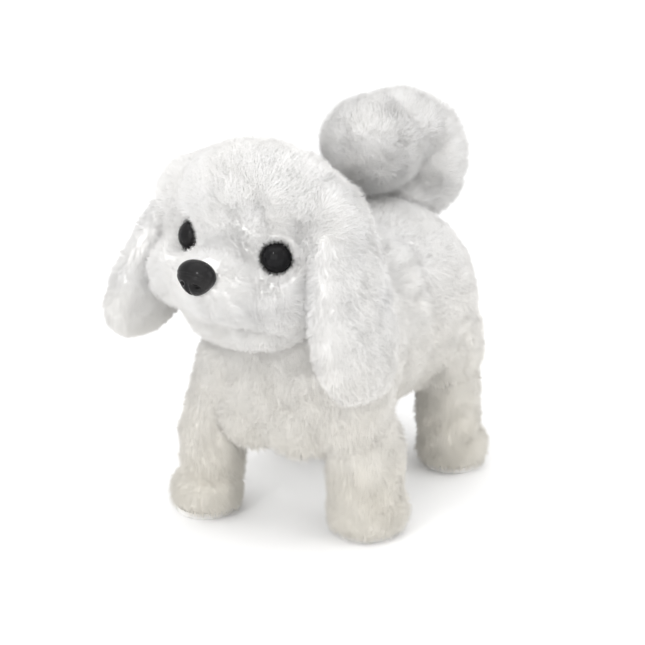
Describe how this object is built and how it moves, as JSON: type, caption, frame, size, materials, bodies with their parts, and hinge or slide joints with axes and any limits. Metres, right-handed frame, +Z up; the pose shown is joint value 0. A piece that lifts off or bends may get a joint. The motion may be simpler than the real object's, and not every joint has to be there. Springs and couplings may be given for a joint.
{
  "type": "interactive plush puppy toy",
  "caption": "Battery walking plush puppy with fur skins over a geared walking mechanism, swaying head and wagging tail.",
  "frame": {"origin": "on the floor under the middle of the puppy's box, between its feet", "axes": "+Z up, the puppy faces -Y, its left side is +X"},
  "size_m": [0.1102, 0.1801, 0.1499],
  "materials": {
    "white_fur": "long pile plush",
    "white_plastic": "moulded",
    "gear_plastic": "moulded acetal",
    "lever_plastic": "moulded",
    "steel": "plated",
    "gloss_black": "polished",
    "sole_rubber": "matt",
    "circuit_board": "lacquered",
    "cell_wrap": "printed film, plain",
    "red_wire": "insulation",
    "speaker_cone": "paper and plastic",
    "black_plastic": "moulded"
  },
  "bodies": {
    "chassis": {"gearbox_left": "white_plastic", "gearbox_right": "white_plastic", "gearbox_screw_1": "steel", "gearbox_screw_2": "steel", "front_hip_axle": "steel", "rear_hip_axle": "steel", "motor": "steel", "battery_box": "white_plastic", "battery_1": "cell_wrap", "battery_2": "cell_wrap", "battery_spring_1": "steel", "battery_spring_2": "steel", "contact_plate_1": "steel", "contact_plate_2": "steel", "switch_body": "black_plastic", "circuit_board": "circuit_board", "speaker": "speaker_cone", "battery_wire": "red_wire", "torso_plush": "white_fur", "neck_post": "lever_plastic", "neck_screw": "steel", "tail_pivot_screw": "steel"},
    "crank": {"crank_gear": "gear_plastic", "crank_disc_left": "gear_plastic", "crank_disc_right": "gear_plastic"},
    "second_gear_body": {"second_gear": "gear_plastic"},
    "first_gear_body": {"first_gear": "gear_plastic"},
    "motor_shaft_body": {"motor_pinion": "steel"},
    "front_left_leg": {"front_left_leg_frame": "lever_plastic", "front_left_leg_plush": "white_fur", "front_left_sole": "sole_rubber"},
    "rear_left_leg": {"rear_left_leg_frame": "lever_plastic", "rear_left_leg_plush": "white_fur", "rear_left_sole": "sole_rubber"},
    "front_right_leg": {"front_right_leg_frame": "lever_plastic", "front_right_leg_plush": "white_fur", "front_right_sole": "sole_rubber"},
    "rear_right_leg": {"rear_right_leg_frame": "lever_plastic", "rear_right_leg_plush": "white_fur", "rear_right_sole": "sole_rubber"},
    "left_rod": {"left_link_rod": "lever_plastic"},
    "right_rod": {"right_link_rod": "lever_plastic"},
    "head": {"neck_hub": "lever_plastic", "skull_front": "white_plastic", "skull_rear": "white_plastic", "head_plush": "white_fur", "ear_left": "white_fur", "ear_right": "white_fur", "eye_left": "gloss_black", "eye_right": "gloss_black", "eye_left_washer": "white_plastic", "eye_right_washer": "white_plastic", "nose": "gloss_black", "nose_washer": "white_plastic"},
    "tail": {"tail_rocker": "lever_plastic", "tail_core": "steel", "tail_plush": "white_fur"},
    "switch_slider": {"switch_knob": "black_plastic"},
    "battery_cover": {"battery_door": "white_plastic", "door_screw": "steel"}
  },
  "joints": [
    {"name": "crank_spin", "type": "hinge", "parent": "chassis", "child": "crank", "pos_m": [0, 0.004, 0.063], "axis": [1, 0, 0], "continuous": true},
    {"name": "second_gear_spin", "type": "hinge", "parent": "chassis", "child": "second_gear_body", "pos_m": [0, 0.0165, 0.063], "axis": [1, 0, 0], "continuous": true},
    {"name": "first_gear_spin", "type": "hinge", "parent": "chassis", "child": "first_gear_body", "pos_m": [0, 0.02674, 0.07017], "axis": [1, 0, 0], "continuous": true},
    {"name": "motor_spin", "type": "hinge", "parent": "chassis", "child": "motor_shaft_body", "pos_m": [0, 0.03274, 0.08056], "axis": [1, 0, 0], "continuous": true},
    {"name": "front_left_leg_swing", "type": "hinge", "parent": "chassis", "child": "front_left_leg", "pos_m": [0, -0.0335, 0.056], "axis": [1, 0, 0], "range_deg": [-18.87, 5.13]},
    {"name": "rear_left_leg_swing", "type": "hinge", "parent": "chassis", "child": "rear_left_leg", "pos_m": [0, 0.041, 0.056], "axis": [1, 0, 0], "range_deg": [-18.87, 5.13]},
    {"name": "front_right_leg_swing", "type": "hinge", "parent": "chassis", "child": "front_right_leg", "pos_m": [0, -0.0335, 0.056], "axis": [1, 0, 0], "range_deg": [-5.13, 18.87]},
    {"name": "rear_right_leg_swing", "type": "hinge", "parent": "chassis", "child": "rear_right_leg", "pos_m": [0, 0.041, 0.056], "axis": [1, 0, 0], "range_deg": [-5.13, 18.87]},
    {"name": "left_rod_pivot", "type": "hinge", "parent": "front_left_leg", "child": "left_rod", "pos_m": [0, -0.0347, 0.066], "axis": [1, 0, 0], "range_deg": [-5.13, 18.87]},
    {"name": "right_rod_pivot", "type": "hinge", "parent": "front_right_leg", "child": "right_rod", "pos_m": [0, -0.0323, 0.066], "axis": [1, 0, 0], "range_deg": [-18.87, 5.13]},
    {"name": "head_sway", "type": "hinge", "parent": "chassis", "child": "head", "pos_m": [0, -0.036, 0.1], "axis": [0, 0, 1], "range_deg": [-3.37, 12.36]},
    {"name": "tail_wag", "type": "hinge", "parent": "chassis", "child": "tail", "pos_m": [0, 0.05, 0.084], "axis": [0, 1, 0], "range_deg": [-21.71, 5.9]},
    {"name": "power_switch_slide", "type": "slide", "parent": "chassis", "child": "switch_slider", "axis": [1, 0, 0], "range_m": [0, 0.004]},
    {"name": "battery_door_removal", "type": "slide", "parent": "chassis", "child": "battery_cover", "axis": [0, 0, -1], "range_m": [0, 0.015]}
  ],
  "couplings": [
    {"joint": "second_gear_spin", "follows": "crank_spin", "ratio": -4},
    {"joint": "first_gear_spin", "follows": "crank_spin", "ratio": 16},
    {"joint": "motor_spin", "follows": "crank_spin", "ratio": -80},
    {"joint": "rear_left_leg_swing", "follows": "front_left_leg_swing", "ratio": 1},
    {"joint": "front_right_leg_swing", "follows": "front_left_leg_swing", "ratio": -1},
    {"joint": "rear_right_leg_swing", "follows": "front_left_leg_swing", "ratio": -1},
    {"joint": "left_rod_pivot", "follows": "front_left_leg_swing", "ratio": -1},
    {"joint": "right_rod_pivot", "follows": "front_left_leg_swing", "ratio": 1},
    {"joint": "head_sway", "follows": "front_left_leg_swing", "ratio": -0.655},
    {"joint": "tail_wag", "follows": "front_left_leg_swing", "ratio": 1.15}
  ]
}
